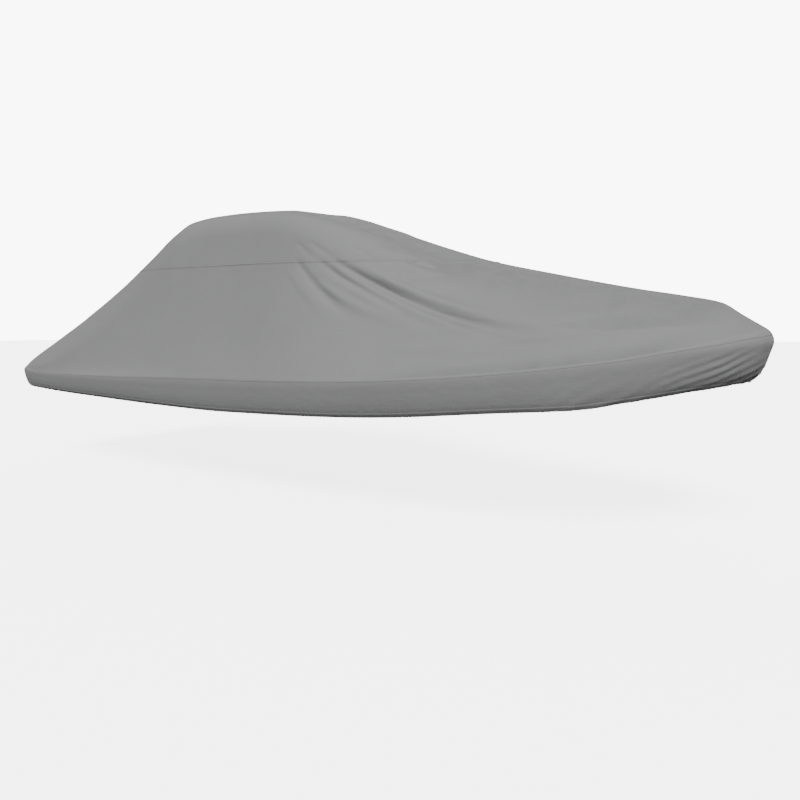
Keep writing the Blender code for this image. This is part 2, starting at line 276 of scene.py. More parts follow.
def monotone_curve(knots: Sequence[float], values: Sequence[float]) -> Callable:
    """Makes a smooth curve through the values that never overshoots them.

    Args:
        knots: Where the values are, rising.
        values: The values there.

    Returns:
        A function of one number or array.
    """
    k = np.asarray(knots, float)
    v = np.asarray(values, float)
    step = np.diff(k)
    rise = np.diff(v) / step
    slope = np.zeros_like(v)
    for i in range(1, len(v) - 1):
        if rise[i - 1] * rise[i] > 0:
            before = 2 * step[i] + step[i - 1]
            after = step[i] + 2 * step[i - 1]
            slope[i] = (before + after) / (before / rise[i - 1] + after / rise[i])
    slope[0] = rise[0]
    slope[-1] = rise[-1]

    def curve(at: np.ndarray) -> np.ndarray:
        at = np.clip(np.asarray(at, float), k[0], k[-1])
        i = np.clip(np.searchsorted(k, at) - 1, 0, len(step) - 1)
        t = (at - k[i]) / step[i]
        start = (1 + 2 * t) * (1 - t) ** 2 * v[i] + t * (1 - t) ** 2 * step[i] * slope[i]
        end = t * t * (3 - 2 * t) * v[i + 1] + t * t * (t - 1) * step[i] * slope[i + 1]
        return start + end

    return curve


def smooth_step(x: np.ndarray, low: float, high: float) -> np.ndarray:
    """Rises smoothly from 0 at low to 1 at high."""
    t = np.clip((x - low) / (high - low), 0.0, 1.0)
    return t * t * (3 - 2 * t)


def hump(x: np.ndarray, centre: float, width: float) -> np.ndarray:
    """A smooth hump of height 1."""
    return np.exp(-(((x - centre) / width) ** 2))


class ValueNoise:
    """Seeded smooth noise in the plane, the same on every run."""

    def __init__(self, seed: int) -> None:
        self._table = np.random.default_rng(seed).uniform(-1.0, 1.0, (64, 64))

    def __call__(self, u: np.ndarray, v: np.ndarray) -> np.ndarray:
        """Gives the noise at u, v, with one bump to a unit."""
        iu = np.floor(u).astype(int)
        iv = np.floor(v).astype(int)
        fu = u - iu
        fv = v - iv
        fu = fu * fu * (3 - 2 * fu)
        fv = fv * fv * (3 - 2 * fv)
        a = self._table[iu % 64, iv % 64]
        b = self._table[(iu + 1) % 64, iv % 64]
        c = self._table[iu % 64, (iv + 1) % 64]
        d = self._table[(iu + 1) % 64, (iv + 1) % 64]
        return (a * (1 - fu) + b * fu) * (1 - fv) + (c * (1 - fu) + d * fu) * fv


@dataclass
class HullForm:
    """The smooth shape that the boat gives the cover.

    Attributes:
        hold_x: Where the boat holds the cover up, from the stern.
        cloth: The CAD thickness of the cloth, which sets where the frame's origin is.
    """

    hold_x: float = 3.50
    cloth: float = 0.0025
    lengths: np.ndarray = field(init=False)

    def __post_init__(self) -> None:
        x = np.array([edge.x for edge in EDGES])
        y = np.array([edge.y for edge in EDGES])
        self.lengths = np.concatenate([[0.0], np.cumsum(np.hypot(np.diff(x), np.diff(y)))])
        names = ("x", "y", "ridge_x", "gunwale_z", "hem_z")
        self._edge = {n: monotone_curve(self.lengths, [getattr(e, n) for e in EDGES]) for n in names}
        names = ("shoulder_y", "shoulder_z", "ridge_z", "rounding", "sag")
        rows = [row.x for row in SECTIONS]
        self._section = {n: monotone_curve(rows, [getattr(s, n) for s in SECTIONS]) for n in names}
        dense = np.linspace(0.0, self.lengths[-1], 4000)
        on_side = self._edge["x"](dense) > 1e-6
        self._dense_x = self._edge["x"](dense)[on_side]
        self._dense_y = self._edge["y"](dense)[on_side]
        self._dense_z = self._edge["gunwale_z"](dense)[on_side]

    @property
    def total(self) -> float:
        """The length of the deck's edge on one side, from the middle of the stern to the bow."""
        return float(self.lengths[-1])

    @property
    def origin(self) -> np.ndarray:
        """The frame's origin in the tables' own coordinates."""
        top = float(self.top_height(np.array([self.hold_x]), np.array([0.0]))[0])
        return np.array([self.hold_x, 0.0, top - self.cloth])

    def edge(self, name: str, along: np.ndarray) -> np.ndarray:
        """One column of the edge table, at distances along the edge."""
        return self._edge[name](along)

    def top_height(self, x: np.ndarray, y: np.ndarray) -> np.ndarray:
        """The height of the cloth over points of the deck.

        Args:
            x: Distances from the stern.
            y: Distances from the centreline.

        Returns:
            The heights above the lowest point of the hem.
        """
        beam = np.maximum(np.interp(x, self._dense_x, self._dense_y), 1e-4)
        gunwale = np.interp(x, self._dense_x, self._dense_z)
        s_y, s_z, r_z, rounding, sag = (curve(x) for curve in self._section.values())
        s_y = np.minimum(s_y, beam * 0.97)
        up = np.minimum(rounding / np.maximum(np.hypot(s_y, r_z - s_z), 1e-6), 0.8)
        down = np.minimum(1.3 * rounding / np.maximum(np.hypot(beam - s_y, gunwale - s_z), 1e-6), 0.8)
        a_y = s_y * (1 - up)
        a_z = s_z + (r_z - s_z) * up
        b_y = s_y + (beam - s_y) * down
        b_z = s_z + (gunwale - s_z) * down
        y = np.abs(y)
        roof = r_z + (a_z - r_z) * y / np.maximum(a_y, 1e-6)
        share = np.clip((y - b_y) / np.maximum(beam - b_y, 1e-6), 0.0, 1.0)
        wall = b_z + (gunwale - b_z) * share - sag * 8 * share * (1 - share)
        qa = a_y - 2 * s_y + b_y
        qb = 2 * (s_y - a_y)
        qc = a_y - y
        root = np.sqrt(np.maximum(qb * qb - 4 * qa * qc, 0.0))
        flat = np.abs(qa) < 1e-9
        t = np.where(flat, -qc / np.maximum(qb, 1e-9), (root - qb) / np.where(flat, 1.0, 2 * qa))
        t = np.clip(t, 0.0, 1.0)
        turn = (1 - t) ** 2 * a_z + 2 * t * (1 - t) * s_z + t * t * b_z
        return np.where(y <= a_y, roof, np.where(y >= b_y, wall, turn))


@dataclass
class Drape:
    """The shape of the cloth: profiles from hem to ridge, and the folds laid over them.

    Attributes:
        hull: The smooth form underneath.
        rail_radius: How far from the deck's edge the cloth starts to turn down.
        bow_radius: How much farther out that is at the tip of the bow.
        bow_tuck: How many times deeper the skirt is drawn in at the tip of the bow.
        bow_tuck_from: Where that starts.
        slack: How far slack cloth moves in and out.
        crumple: How deep the creases are in front of the raised middle.
        frill: How deep the frill at the hem is.
        frill_pitch: The distance from one fold of the frill to the next.
    """

    hull: HullForm
    rail_radius: float = 0.022
    bow_radius: float = 0.045
    bow_tuck: float = 2.1
    bow_tuck_from: float = 6.9
    slack: float = 0.0042
    crumple: float = 0.0065
    frill: float = 0.0016
    frill_pitch: float = 0.036
    noise: ValueNoise = field(default_factory=lambda: ValueNoise(7))

    def stations(self, count: int) -> np.ndarray:
        """Distances along the edge, closer together round the folds and at the tight corners."""
        fine = np.linspace(0.0, self.hull.total, 6000)
        x = self.hull.edge("x", fine)
        round_folds = 0.8 * hump(x, 5.4, 1.2)
        round_bow = 1.6 * hump(x, 8.15, 0.35)
        round_stern_corner = 1.6 * hump(fine, 1.12, 0.16)
        density = 1.0 + round_folds + round_bow
        density += round_stern_corner
        walked = np.concatenate([[0.0], np.cumsum(0.5 * (density[1:] + density[:-1]) * np.diff(fine))])
        return np.interp(np.linspace(0.0, walked[-1], count), walked, fine)

    def _skirt_line(self, along: float) -> np.ndarray:
        """The skirt's profile at one place, from the hem up to the deck's edge."""
        hull = self.hull
        at = np.array([along])
        x, y, gunwale, hem = (float(hull.edge(n, at)[0]) for n in ("x", "y", "gunwale_z", "hem_z"))
        ends = np.array([max(along - 0.01, 0.0), min(along + 0.01, hull.total)])
        run = np.array([np.diff(hull.edge("x", ends))[0], np.diff(hull.edge("y", ends))[0]])
        run /= max(float(np.hypot(*run)), 1e-9)
        inward = np.array([run[1], -run[0]])
        if y < 1e-6:
            inward = np.array([1.0 if x < 1.0 else -1.0, 0.0])
        grow = min(max((x - self.bow_tuck_from) / (EDGES[-1].x - self.bow_tuck_from), 0.0), 1.0)
        deeper = 1 + (self.bow_tuck - 1) * grow * grow
        shares = np.linspace(0.0, 1.0, SKIRT_POINTS)
        tuck = monotone_curve([f.share for f in SKIRT], [f.tuck for f in SKIRT])(shares)
        tuck = np.where(tuck > 0, tuck * deeper, tuck)
        line = np.stack([x + inward[0] * tuck, y + inward[1] * tuck, gunwale + (hem - gunwale) * shares], 1)
        return line[::-1]

    def profile(self, along: float) -> Tuple[np.ndarray, np.ndarray]:
        """The whole profile at one place along the edge.

        Args:
            along: The distance along the edge of the deck.

        Returns:
            The distances along the profile, zero at the deck's edge and negative on the skirt, and the
            points there.
        """
        hull = self.hull
        at = np.array([along])
        x, y, ridge_x, gunwale = (float(hull.edge(n, at)[0]) for n in ("x", "y", "ridge_x", "gunwale_z"))
        share = np.linspace(0.0, 1.0, 500)
        xs = x + (ridge_x - x) * share
        ys = y * (1 - share)
        top = np.stack([xs, ys, hull.top_height(xs, ys)], 1)
        top[0, 2] = gunwale
        line = np.concatenate([self._skirt_line(along), top[1:]])
        walked = np.concatenate([[0.0], np.cumsum(np.linalg.norm(np.diff(line, axis=0), axis=1))])
        rail = SKIRT_POINTS - 1
        walked -= walked[rail]
        r = self.rail_radius + self.bow_radius * float(smooth_step(np.array(x), 7.7, EDGES[-1].x))
        near = np.abs(walked) < r
        low = np.array([np.interp(-r, walked, line[:, k]) for k in range(3)])
        high = np.array([np.interp(r, walked, line[:, k]) for k in range(3)])
        dense = np.linspace(-r, r, 13)
        t = ((dense + r) / (2 * r))[:, None]
        turn = (1 - t) ** 2 * low + 2 * t * (1 - t) * line[rail] + t * t * high
        below = (walked < 0) & ~near
        above = (walked > 0) & ~near
        places = np.concatenate([walked[below], dense, walked[above]])
        return places, np.concatenate([line[below], turn, line[above]])

    def grid(self, side: Side, along: np.ndarray, rows: Callable) -> "ClothGrid":
        """A grid of points of one side, with its folds.

        Args:
            side: Which side of the boat.
            along: The stations.
            rows: Gives the row places from the lowest and the highest place of a profile.

        Returns:
            The grid, on its own side of the centreline.
        """
        points = []
        places = []
        for station in along:
            at, line = self.profile(float(station))
            row = rows(at[0], at[-1])
            points.append(np.stack([np.interp(row, at, line[:, k]) for k in range(3)], 1))
            places.append(row)
        base = np.array(points)
        place = np.array(places)
        run = np.repeat(along[:, None], base.shape[1], axis=1)
        normal = self._normals(base)
        push = self._push(base, place, run, side)
        moved = base - normal * push[..., None]
        normal = self._normals(moved)
        flip = np.array([1.0, float(side), 1.0])
        return ClothGrid(moved * flip, normal * flip, run, place)

    @staticmethod
    def _normals(grid: np.ndarray) -> np.ndarray:
        """Unit normals of a grid of the +Y half, pointing out of the cover."""
        normal = np.cross(np.gradient(grid, axis=0), np.gradient(grid, axis=1))
        normal /= np.maximum(np.linalg.norm(normal, axis=2, keepdims=True), 1e-12)
        normal *= -1.0 if normal[len(grid) // 2, 3, 1] < 0 else 1.0
        for line in (normal[0], normal[-1]):
            line[:, 1] = 0.0
            line /= np.maximum(np.linalg.norm(line, axis=1, keepdims=True), 1e-12)
        on_ridge = np.abs(grid[:, -1, 1]) < 1e-9
        normal[on_ridge, -1, 1] = 0.0
        normal[:, -1] /= np.maximum(np.linalg.norm(normal[:, -1], axis=1, keepdims=True), 1e-12)
        return normal

    def _push(self, base: np.ndarray, place: np.ndarray, run: np.ndarray, side: Side) -> np.ndarray:
        """How far the cloth is pushed in by folds, gathers and slack."""
        x, y, z = base[..., 0], base[..., 1], base[..., 2]
        off_centre = smooth_step(y, 0.0, 0.22)
        on_top = smooth_step(place, 0.02, 0.14)
        push = np.zeros_like(x)
        for fold in FOLDS:
            if fold.side is side:
                push += self._one_fold(fold, x, z)
        push *= off_centre * on_top
        seed = 11.0 if side is Side.STARBOARD else 37.0
        slack = self.noise(run * 1.3 + seed, place * 1.7 + seed)
        slack += 0.45 * self.noise(run * 3.4 + seed, place * 2.6 - seed)
        push += self.slack * slack * off_centre * on_top
        crumple = self.noise(x * 7.0 + place * 5.0 + seed, place * 9.0 - x * 2.0)
        region = np.exp(-(((x - 5.45) / 0.55) ** 2) - (((z - 1.30) / 0.28) ** 2))
        push += self.crumple * crumple * region * off_centre
        return push + self._gathers(x, z, place, run, side)

    @staticmethod
    def _one_fold(fold: Fold, x: np.ndarray, z: np.ndarray) -> np.ndarray:
        """The push of one fold, in metres."""
        dx = fold.x1 - fold.x0
        dz = fold.z1 - fold.z0
        length = math.hypot(dx, dz)
        t = ((x - fold.x0) * dx + (z - fold.z0) * dz) / length**2
        inside = np.clip(t, 0.0, 1.0)
        off = (-(x - fold.x0) * dz + (z - fold.z0) * dx) / length
        off = off - fold.bend * 4 * inside * (1 - inside)
        wide = fold.width * (0.75 + 0.9 * inside)
        q = off / wide
        shape = np.exp(-q * q) * (1 - 0.55 * q * q)
        beyond = np.maximum(np.maximum(-t, t - 1.0), 0.0) * length / (2.2 * fold.width)
        fade = np.exp(-(beyond**2)) * smooth_step(t, -0.05, 0.18) * (1 - smooth_step(t, 0.55, 1.08))
        return fold.depth * shape * fade

    def _gathers(
        self, x: np.ndarray, z: np.ndarray, place: np.ndarray, run: np.ndarray, side: Side
    ) -> np.ndarray:
        """The small folds that the gathered hem draws up the skirt."""
        down = smooth_step(-place, 0.02, 0.20)
        push = np.zeros_like(x)
        for gather in GATHERS:
            if gather.side is not side:
                continue
            within = smooth_step(x, gather.x0, gather.x0 + 0.25)
            within = within * (1 - smooth_step(x, gather.x1, gather.x1 + 0.3))
            wander = gather.wander * self.noise(run * 3.0, place * 4.0 + gather.pitch * 100)
            climb = math.radians(gather.climb)
            phase = (place * math.cos(climb) - run * math.sin(climb)) / gather.pitch + wander
            uneven = 0.55 + 0.45 * self.noise(run * 3.0 + 9.0, place * 6.0)
            push += gather.depth * np.sin(2 * math.pi * phase) * within * down * uneven
        frill = np.sin(2 * math.pi * (run / self.frill_pitch + 0.7 * self.noise(run * 6.0, place * 0.0 + 2.0)))
        at_hem = smooth_step(-place, 0.13, 0.30)
        push += self.frill * frill * at_hem * (0.5 + 0.5 * self.noise(run * 2.1, place * 0.0 + 5.0))
        return push


@dataclass
class ClothGrid:
    """A grid of cloth points with normals and the two distances that the weave follows."""

    points: np.ndarray
    normals: np.ndarray
    run: np.ndarray
    place: np.ndarray

    def part(self, used: np.ndarray, first: int) -> "ClothGrid":
        """The stations that are used, from the row first upwards."""
        whole = (self.points, self.normals, self.run, self.place)
        return ClothGrid(*(array[used][:, first:] for array in whole))


class MeshSheet:
    """A single skin of cloth in bmesh, which becomes a closed sheet with an inside face."""

    def __init__(self) -> None:
        self.bm = bmesh.new()
        self._run = self.bm.verts.layers.float.new("run")
        self._place = self.bm.verts.layers.float.new("place")

    def add_grid(self, grid: ClothGrid, flip: bool) -> None:
        """Adds one grid of points as quads.

        Args:
            grid: The cloth.
            flip: Whether to turn the faces round, as one of the two sides needs.
        """
        rows, columns = grid.points.shape[:2]
        verts = []
        for i in range(rows):
            line = []
            for j in range(columns):
                vert = self.bm.verts.new(grid.points[i, j])
                vert[self._run] = float(grid.run[i, j])
                vert[self._place] = float(grid.place[i, j])
                line.append(vert)
            verts.append(line)
        for i in range(rows - 1):
            for j in range(columns - 1):
                ring = [verts[i][j], verts[i + 1][j], verts[i + 1][j + 1], verts[i][j + 1]]
                self.bm.faces.new(ring[::-1] if flip else ring)

    def weld(self, reach: float = 1e-5) -> None:
        """Joins points that lie on each other, as along the ridge."""
        bmesh.ops.remove_doubles(self.bm, verts=self.bm.verts[:], dist=reach)

    def slice(self, seam: "SeamPlane", lift: float, drop: str = "") -> None:
        """Cuts the cloth a little above the seam, and can drop what lies on one side.

        Args:
            seam: The plane of the seam.
            lift: How far above it the cut is.
            drop: "outer" drops what is above the cut, and "inner" what is below.
        """
        bmesh.ops.bisect_plane(
            self.bm,
            geom=self.bm.verts[:] + self.bm.edges[:] + self.bm.faces[:],
            dist=1e-6,
            plane_co=tuple(seam.point + seam.normal * lift),
            plane_no=tuple(seam.normal),
            clear_outer=drop == "outer",
            clear_inner=drop == "inner",
        )

    def solid(self, cloth: float) -> "ClothSolid":
        """The sheet as it stands, with its stitches still to be placed."""
        self.bm.normal_update()
        self.bm.verts.index_update()
        verts = self.bm.verts[:]
        weave = np.array([(v[self._run], v[self._place]) for v in verts])
        return ClothSolid(
            points=np.array([v.co[:] for v in verts]),
            normals=np.array([v.normal[:] for v in verts]),
            thickness=np.full(len(verts), cloth),
            weave=weave,
            stitch=np.zeros_like(weave),
            faces=[[v.index for v in f.verts] for f in self.bm.faces],
        )


@dataclass
class ClothSolid:
    """A finished sheet: the outside points, how thick the cloth is at each, and what the shaders need.

    Attributes:
        points: The outside of the cloth.
        normals: The way each point faces.
        thickness: The cloth's thickness at each point.
        weave: The two distances that the weave follows.
        stitch: The distance along the nearest sewn edge and the distance from it.
        faces: The faces of the outside.
    """

    points: np.ndarray
    normals: np.ndarray
    thickness: np.ndarray
    weave: np.ndarray
    stitch: np.ndarray
    faces: List[List[int]]

    def build(self, name: str, origin: np.ndarray, material: bpy.types.Material) -> bpy.types.Object:
        """Makes the closed mesh.

        Args:
            name: The piece's name.
            origin: The frame's origin in the tables' coordinates.
            material: The cloth's finish.

        Returns:
            The new object, smooth shaded and linked to the scene.
        """
        count = len(self.points)
        inside = self.points - self.normals * self.thickness[:, None]
        points = np.concatenate([self.points, inside]) - origin
        faces = [list(f) for f in self.faces]
        uses: Dict[Tuple[int, int], int] = {}
        for face in self.faces:
            for a, b in zip(face, face[1:] + face[:1]):
                uses[(a, b)] = uses.get((a, b), 0) + 1
        rim = [(a, b) for (a, b) in uses if (b, a) not in uses]
        faces += [[k + count for k in reversed(f)] for f in self.faces]
        faces += [[b, a, a + count, b + count] for a, b in rim]
        mesh = bpy.data.meshes.new(name)
        mesh.from_pydata([tuple(p) for p in points], [], faces)
        mesh.update()
        for layer, values in (("weave", self.weave), ("stitch", self.stitch)):
            both = np.concatenate([values, values])
            uv = mesh.uv_layers.new(name=layer)
            loops = np.empty(len(mesh.loops), np.int32)
            mesh.loops.foreach_get("vertex_index", loops)
            uv.data.foreach_set("uv", both[loops].astype(np.float32).ravel())
        mesh.polygons.foreach_set("use_smooth", np.ones(len(mesh.polygons), bool))
        mesh.materials.append(material)
        piece = bpy.data.objects.new(name, mesh)
        bpy.context.scene.collection.objects.link(piece)
        LOG.info("%s: %d faces", name, len(mesh.polygons))
        return piece


@dataclass
class SeamPlane:
    """The plane that the cap's seam lies in, falling a little towards the bow.

    Attributes:
        aft: x and z of one point of it.
        fore: x and z of another.
    """

    aft: Tuple[float, float] = (2.60, 1.435)
    fore: Tuple[float, float] = (6.10, 1.385)

    @property
    def point(self) -> np.ndarray:
        """A point of the plane."""
        return np.array([self.aft[0], 0.0, self.aft[1]])

    @property
    def normal(self) -> np.ndarray:
        """The plane's upward normal."""
        run = np.array([self.fore[0] - self.aft[0], 0.0, self.fore[1] - self.aft[1]])
        normal = np.cross(run, np.array([0.0, 1.0, 0.0]))
        return normal / np.linalg.norm(normal)

    def height(self, points: np.ndarray) -> np.ndarray:
        """How far points are above the plane."""
        return (points - self.point) @ self.normal

    def along_cloth(self, height: np.ndarray, normals: np.ndarray) -> np.ndarray:
        """Turns heights above the plane into distances along the sloping cloth."""
        slope = np.maximum(np.sqrt(np.maximum(1 - (normals @ self.normal) ** 2, 0.0)), 0.15)
        return height / slope


@dataclass
class TopPanels:
    """The cap and the two deck panels, which overlap at their seams as sewn cloth does.

    Attributes:
        drape: The shape of the cloth.
        cloth: How thick the cloth is drawn.
        lap: How far a deck panel runs on under the cap, in height.
        tuck: How far in its covered edge lies.
        stations: How many sections are drawn on one side.
        rows: How many rows lie between the deck's edge and the ridge.
        rail_lap: How far a deck panel laps down over the skirt.
        centre_lap: How far the port deck panel laps over the starboard one.
        cap_reach: The stations that the cap needs, by where their ridge is.
        cap_row: The first row that the cap needs.
    """

    drape: Drape
    seam: SeamPlane = field(default_factory=SeamPlane)
    cloth: float = 0.0022
    lap: float = 0.009
    tuck: float = 0.0034
    stations: int = 400
    rows: int = 128
    rail_lap: float = 0.014
    centre_lap: float = 0.006
    cap_reach: Tuple[float, float] = (1.3, 7.0)
    cap_row: int = 12

    def _rows(self, low: float, high: float) -> np.ndarray:
        """Row places: a few close ones over the rail, then even ones up to the ridge."""
        rail = np.array([-self.rail_lap, -0.009, -0.004, 0.0, 0.004, 0.009, 0.015, 0.022, 0.032])
        last = 0.016
        even = np.linspace(0.045, high - last, self.rows)
        return np.concatenate([rail, even, [high - last * 0.5, high]])

    def grids(self) -> Dict[Side, ClothGrid]:
        """The cloth of both sides, before it is cut into panels."""
        along = self.drape.stations(self.stations)
        return {side: self.drape.grid(side, along, self._rows) for side in Side}

    def deck(self, side: Side, grid: ClothGrid) -> ClothSolid:
        """One deck panel, from the cap's seam down over the deck's edge."""
        sheet = MeshSheet()
        sheet.add_grid(self._off_centre(grid, side), side is Side.STARBOARD)
        for lift in (-0.020, -0.010, -0.004, 0.001):
            sheet.slice(self.seam, lift)
        sheet.slice(self.seam, self.lap, drop="outer")
        solid = sheet.solid(self.cloth)
        run, place = solid.weave.T
        height = self.seam.height(solid.points)
        from_seam = -self.seam.along_cloth(height, solid.normals)
        under_cap = smooth_step(height, -0.0045, 0.0005)
        welt = hump(from_seam, 0.016, 0.012) * (height < 0)
        solid.points = solid.points - solid.normals * (self.tuck * under_cap - 0.0009 * welt)[:, None]
        from_rail = np.maximum(place + self.rail_lap, 0.0)
        from_centre = np.abs(solid.points[:, 1])
        nearest = np.minimum(from_rail, from_centre)
        nearest = np.minimum(nearest, np.where(height < 0, from_seam, 1.0))
        across = np.where(from_centre < from_rail, solid.points[:, 0], run)
        solid.stitch = np.stack([across, nearest], 1)
        return solid

    def _off_centre(self, grid: ClothGrid, side: Side) -> ClothGrid:
        """Laps the two halves at the centreline, the port one over the starboard one."""
        points = grid.points.copy()
        over = side is Side.PORT
        reach = -self.centre_lap if over else 0.0
        drop = 0.0 if over else self.tuck
        for edge, inner in ((0, 1), (-1, -2)):
            points[edge, :, 1] = side * (0.0 if over else 0.0003)
            points[edge] -= grid.normals[edge] * drop
        points[:, -1, 1] = side * (reach if over else 0.0)
        points[:, -1] -= grid.normals[:, -1] * drop
        points[:, -2] -= grid.normals[:, -2] * drop * 0.6
        return ClothGrid(points, grid.normals, grid.run, grid.place)

    def cap(self, grids: Dict[Side, ClothGrid]) -> ClothSolid:
        """The cap over the raised middle, one piece across both sides."""
        sheet = MeshSheet()
        aft, fore = self.cap_reach
        for side, grid in grids.items():
            ridge_x = grid.points[:, -1, 0]
            used = (ridge_x > aft) & (ridge_x < fore)
            sheet.add_grid(grid.part(used, self.cap_row), side is Side.STARBOARD)
        sheet.weld()
        sheet.slice(self.seam, 0.0, drop="inner")
        for lift in (0.004, 0.009, 0.016):
            sheet.slice(self.seam, lift)
        solid = sheet.solid(self.cloth)
        height = np.maximum(self.seam.height(solid.points), 0.0)
        from_seam = self.seam.along_cloth(height, solid.normals)
        welt = hump(from_seam, 0.006, 0.007)
        solid.points = solid.points + solid.normals * (0.0012 * welt)[:, None]
        solid.stitch = np.stack([solid.weave[:, 0], from_seam], 1)
        return solid


@dataclass
class SkirtPanels:
    """The two skirts, with their thicker folded hem.

    Attributes:
        drape: The shape of the cloth.
        cloth: How thick the cloth is drawn.
        hem_cloth: How thick the folded hem is.
        hem_depth: How deep the folded hem is.
        hem_bulge: How far the folded hem stands out.
        tuck: How far the covered upper edge lies in.
        stations: How many sections are drawn on one side.
        rows: How many rows lie between the hem and the deck's edge.
    """

    drape: Drape
    cloth: float = 0.0022
    hem_cloth: float = 0.0052
    hem_depth: float = 0.040
    hem_bulge: float = 0.0006
    tuck: float = 0.0034
    stations: int = 620
    rows: int = 30

    def _rows(self, low: float, high: float) -> np.ndarray:
        """Row places from the hem up to just above the deck's edge."""
        hem = low + np.array([0.0, 0.003, 0.010, 0.022, 0.034, 0.039, 0.042, 0.047])
        even = np.linspace(low + 0.056, -0.030, self.rows)
        return np.concatenate([hem, even, [-0.020, -0.0155, -0.012, -0.006, 0.002]])

    def build(self, side: Side) -> ClothSolid:
        """One skirt, from the middle of the stern round to the tip of the bow."""
        along = self.drape.stations(self.stations)
        grid = self.drape.grid(side, along, self._rows)
        points = grid.points.copy()
        from_hem = grid.place - grid.place[:, :1]
        covered = smooth_step(grid.place, -0.0165, -0.0115)
        rolled = 1 - smooth_step(from_hem, self.hem_depth - 0.002, self.hem_depth + 0.003)
        bulge = self.hem_bulge * rolled - self.tuck * covered
        points += grid.normals * bulge[..., None]
        for edge in (0, -1):
            points[edge, :, 1] = side * 0.0002
        sheet = MeshSheet()
        sheet.add_grid(ClothGrid(points, grid.normals, grid.run, grid.place), side is Side.STARBOARD)
        solid = sheet.solid(self.cloth)
        solid.thickness += (self.hem_cloth - self.cloth) * rolled.reshape(-1)
        from_row = np.abs(from_hem.reshape(-1) - self.hem_depth) + 0.003
        solid.stitch = np.stack([solid.weave[:, 0], from_row], 1)
        return solid


class NodeWriter:
    """Writes shader nodes into a tree, one at a time."""

    def __init__(self, tree: bpy.types.NodeTree) -> None:
        self.tree = tree

    def node(self, kind: str, **settings: object) -> bpy.types.Node:
        """Adds a node with its settings."""
        made = self.tree.nodes.new(kind)
        for name, value in settings.items():
            setattr(made, name, value)
        return made

    def plug(self, socket: bpy.types.NodeSocket, value: object) -> None:
        """Links a socket, or sets it to a constant."""
        if isinstance(value, bpy.types.NodeSocket):
            self.tree.links.new(value, socket)
        else:
            socket.default_value = value

    def filled(self, kind: str, inputs: Dict[object, object], **settings: object) -> bpy.types.Node:
        """Adds a node with its settings and its inputs, by name or number."""
        made = self.node(kind, **settings)
        for key, value in inputs.items():
            self.plug(made.inputs[key], value)
        return made

    def maths(self, operation: str, *values: object, clamp: bool = False) -> bpy.types.NodeSocket:
        """One Math node."""
        inputs = dict(enumerate(values))
        return self.filled("ShaderNodeMath", inputs, operation=operation, use_clamp=clamp).outputs[0]

    def times(self, first: object, second: object) -> bpy.types.NodeSocket:
        """The product of two values."""
        return self.maths("MULTIPLY", first, second)

    def less(self, first: object, second: object) -> bpy.types.NodeSocket:
        """The first value less the second."""
        return self.maths("SUBTRACT", first, second)

    def rise(
        self,
        value: object,
        low: float,
        high: float,
        start: float = 0.0,
        end: float = 1.0,
        kind: str = "SMOOTHSTEP",
    ) -> bpy.types.NodeSocket:
        """A step, smooth if not told otherwise, from start at low to end at high."""
        inputs = {"Value": value, "From Min": low, "From Max": high, "To Min": start, "To Max": end}
        return self.filled("ShaderNodeMapRange", inputs, interpolation_type=kind).outputs[0]

    def mix(self, factor: object, first: object, second: object) -> bpy.types.NodeSocket:
        """A mix of two colours, each a socket or three numbers."""
        first, second = ((*c, 1.0) if isinstance(c, tuple) else c for c in (first, second))
        return self.filled("ShaderNodeMix", {0: factor, 6: first, 7: second}, data_type="RGBA").outputs[2]

    def parts(self, vector: object) -> List[bpy.types.NodeSocket]:
        """The three parts of a vector."""
        return list(self.filled("ShaderNodeSeparateXYZ", {0: vector}).outputs)


class GroupWriter(NodeWriter):
    """Writes one shader node group.

    Each group is given a vector named Vector and has the outputs that are asked for.
    """

    def __init__(self, name: str, inputs: Dict[str, Optional[float]], outputs: Sequence[str]) -> None:
        """Makes the group.

        Args:
            name: Its name.
            inputs: The inputs beside Vector and their defaults, None for a vector.
            outputs: The names of its outputs.
        """
        super().__init__(bpy.data.node_groups.new(name, "ShaderNodeTree"))
        for socket, default in {"Vector": None, **inputs}.items():
            kind = "NodeSocketVector" if default is None else "NodeSocketFloat"
            made = self.tree.interface.new_socket(socket, in_out="INPUT", socket_type=kind)
            if default is not None:
                made.default_value = default
        for socket in outputs:
            self.tree.interface.new_socket(socket, in_out="OUTPUT", socket_type="NodeSocketFloat")
        self.given = self.node("NodeGroupInput").outputs
        self._out = self.node("NodeGroupOutput")

    def put(self, name: str, value: bpy.types.NodeSocket) -> None:
        """Sends a value to one of the group's outputs."""
        self.plug(self._out.inputs[name], value)

    def noise(
        self, scale: float, detail: float, rough: float = 0.5, stretch: Optional[Vector3] = None
    ) -> bpy.types.NodeSocket:
        """One Noise node from 0 to 1 over the group's vector, which may be stretched first."""
        vector = self.given["Vector"]
        if stretch is not None:
            vector = self.filled("ShaderNodeMapping", {"Vector": vector, "Scale": stretch}).outputs[0]
        inputs = {"Vector": vector, "Scale": scale, "Detail": detail, "Roughness": rough}
        return self.filled("ShaderNodeTexNoise", inputs).outputs[0]


